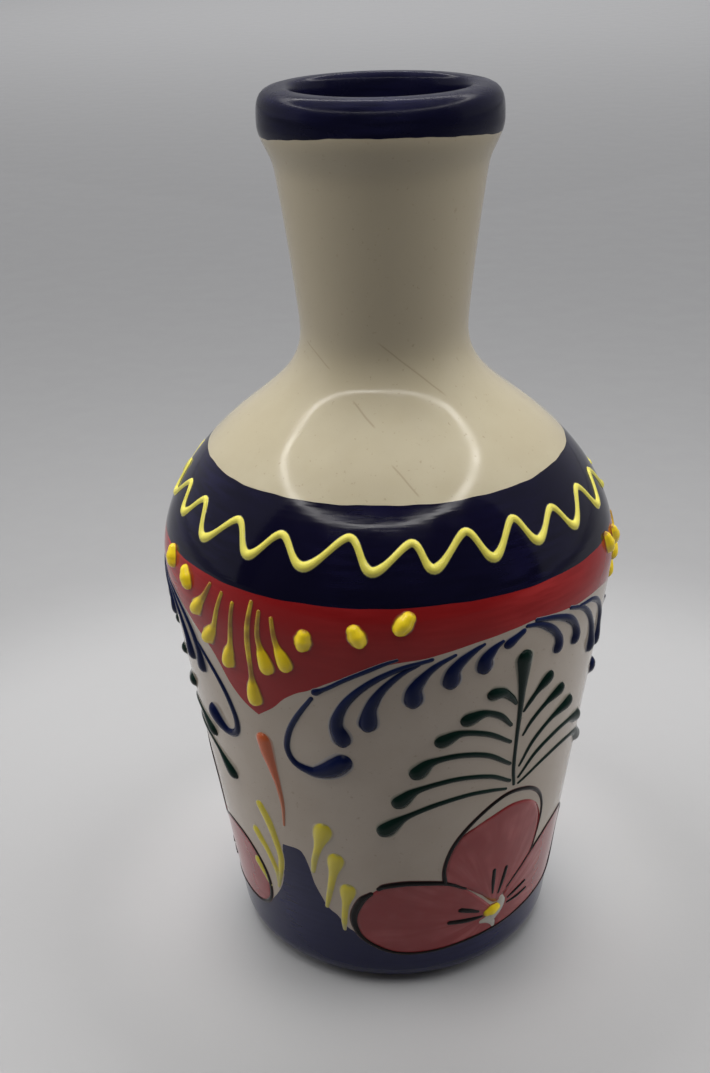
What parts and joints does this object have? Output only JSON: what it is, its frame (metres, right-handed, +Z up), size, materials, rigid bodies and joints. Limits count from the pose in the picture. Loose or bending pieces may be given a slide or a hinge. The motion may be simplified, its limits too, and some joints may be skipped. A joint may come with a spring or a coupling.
{
  "type": "ceramic bottle",
  "caption": "Glazed earthenware bottle with a tapered body, round shoulder, slim neck and rolled lip, decorated with raised glaze beads in a folk floral pattern.",
  "frame": {"origin": "middle of the flat foot, on the surface the bottle stands on", "axes": "+Z up along the bottle's turning axis; -Y is the side that the picture shows"},
  "size_m": [0.1296, 0.1312, 0.25],
  "materials": {
    "cream_glaze": "glossy tin glaze, cream white, painted with cobalt, brick red and rose",
    "yellow_bead": "glossy raised glaze, lemon yellow",
    "orange_bead": "glossy raised glaze, burnt orange",
    "blue_bead": "glossy raised glaze, cobalt blue",
    "green_bead": "glossy raised glaze, bottle green",
    "black_bead": "glossy raised glaze, brown black"
  },
  "bodies": {
    "root": {"bottle_body": "cream_glaze", "zigzag_trail": "yellow_bead", "yellow_drip_1_1": "yellow_bead", "yellow_drip_1_2": "yellow_bead", "yellow_drip_1_3": "yellow_bead", "yellow_drip_2_1": "yellow_bead", "yellow_drip_2_2": "yellow_bead", "yellow_drip_2_3": "yellow_bead", "yellow_drip_3_1": "yellow_bead", "yellow_drip_3_2": "yellow_bead", "yellow_drip_3_3": "yellow_bead", "yellow_drip_4_1": "yellow_bead", "yellow_drip_4_2": "yellow_bead", "yellow_drip_4_3": "yellow_bead", "yellow_drip_5_1": "yellow_bead", "yellow_drip_5_2": "yellow_bead", "yellow_drip_5_3": "yellow_bead", "yellow_drip_6_1": "yellow_bead", "yellow_drip_6_2": "yellow_bead", "yellow_drip_6_3": "yellow_bead", "yellow_dot_1_1": "yellow_bead", "yellow_dot_1_2": "yellow_bead", "yellow_dot_1_3": "yellow_bead", "yellow_dot_2_1": "yellow_bead", "yellow_dot_2_2": "yellow_bead", "yellow_dot_2_3": "yellow_bead", "yellow_dot_3_1": "yellow_bead", "yellow_dot_3_2": "yellow_bead", "yellow_dot_3_3": "yellow_bead", "yellow_dot_4_1": "yellow_bead", "yellow_dot_4_2": "yellow_bead", "yellow_dot_4_3": "yellow_bead", "yellow_dot_5_1": "yellow_bead", "yellow_dot_5_2": "yellow_bead", "yellow_dot_5_3": "yellow_bead", "orange_stroke_1": "orange_bead", "orange_stroke_2": "orange_bead", "orange_stroke_3": "orange_bead", "blue_scroll_right_1": "blue_bead", "blue_scroll_right_2": "blue_bead", "blue_scroll_right_3": "blue_bead", "blue_scroll_left_1": "blue_bead", "blue_scroll_left_2": "blue_bead", "blue_scroll_left_3": "blue_bead", "blue_comma_1_1": "blue_bead", "blue_comma_1_2": "blue_bead", "blue_comma_1_3": "blue_bead", "blue_comma_2_1": "blue_bead", "blue_comma_2_2": "blue_bead", "blue_comma_2_3": "blue_bead", "blue_comma_3_1": "blue_bead", "blue_comma_3_2": "blue_bead", "blue_comma_3_3": "blue_bead", "green_frond_1": "green_bead", "green_frond_2": "green_bead", "green_frond_3": "green_bead", "petal_outline_1": "black_bead", "petal_outline_2": "black_bead", "petal_outline_3": "black_bead"}
  },
  "joints": []
}
